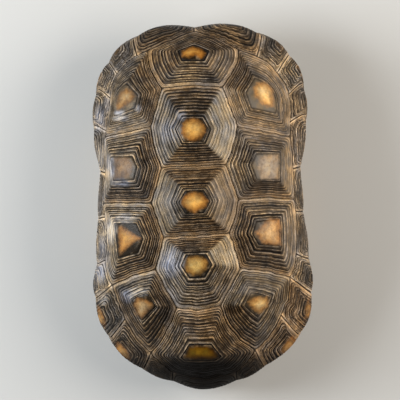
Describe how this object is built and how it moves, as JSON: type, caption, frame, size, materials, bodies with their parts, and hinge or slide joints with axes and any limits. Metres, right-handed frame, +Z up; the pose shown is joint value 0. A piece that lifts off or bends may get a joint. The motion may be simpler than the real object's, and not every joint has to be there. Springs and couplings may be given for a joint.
{
  "type": "tortoise shell",
  "caption": "Empty tortoise shell with a domed, ring-grooved carapace over a flat plastron, open at the neck, limbs and tail, resting on its underside.",
  "frame": {"origin": "on the floor under the middle of the shell's bounding box", "axes": "+Y to the head end, +Z up out of the back, +X to the animal's right"},
  "size_m": [0.1925, 0.32, 0.137],
  "materials": {
    "back_horn": "dark brown horn with fine concentric growth ridges, tan at the seams and yellow-orange at the areolae, with a dry satin gloss",
    "belly_horn": "worn yellow-brown horn with darker brown along older growth rings, satin",
    "bone": "dry cream bone with fine pores and suture lines, matt"
  },
  "bodies": {
    "root": {"vertebral_1": "back_horn", "vertebral_2": "back_horn", "vertebral_3": "back_horn", "vertebral_4": "back_horn", "vertebral_5": "back_horn", "costal_left_1": "back_horn", "costal_left_2": "back_horn", "costal_left_3": "back_horn", "costal_left_4": "back_horn", "costal_right_1": "back_horn", "costal_right_2": "back_horn", "costal_right_3": "back_horn", "costal_right_4": "back_horn", "marginal_left_1": "back_horn", "marginal_left_2": "back_horn", "marginal_left_3": "back_horn", "marginal_left_4": "back_horn", "marginal_left_5": "back_horn", "marginal_left_6": "back_horn", "marginal_left_7": "back_horn", "marginal_left_8": "back_horn", "marginal_left_9": "back_horn", "marginal_left_10": "back_horn", "marginal_left_11": "back_horn", "marginal_right_1": "back_horn", "marginal_right_2": "back_horn", "marginal_right_3": "back_horn", "marginal_right_4": "back_horn", "marginal_right_5": "back_horn", "marginal_right_6": "back_horn", "marginal_right_7": "back_horn", "marginal_right_8": "back_horn", "marginal_right_9": "back_horn", "marginal_right_10": "back_horn", "marginal_right_11": "back_horn", "supracaudal": "back_horn", "carapace_bone": "bone", "gular_left": "belly_horn", "gular_right": "belly_horn", "humeral_left": "belly_horn", "humeral_right": "belly_horn", "axillary_left": "belly_horn", "axillary_right": "belly_horn", "pectoral_left": "belly_horn", "pectoral_right": "belly_horn", "abdominal_left": "belly_horn", "abdominal_right": "belly_horn", "inguinal_left": "belly_horn", "inguinal_right": "belly_horn", "femoral_left": "belly_horn", "femoral_right": "belly_horn", "anal_left": "belly_horn", "anal_right": "belly_horn", "plastron_bone": "bone"}
  },
  "joints": []
}
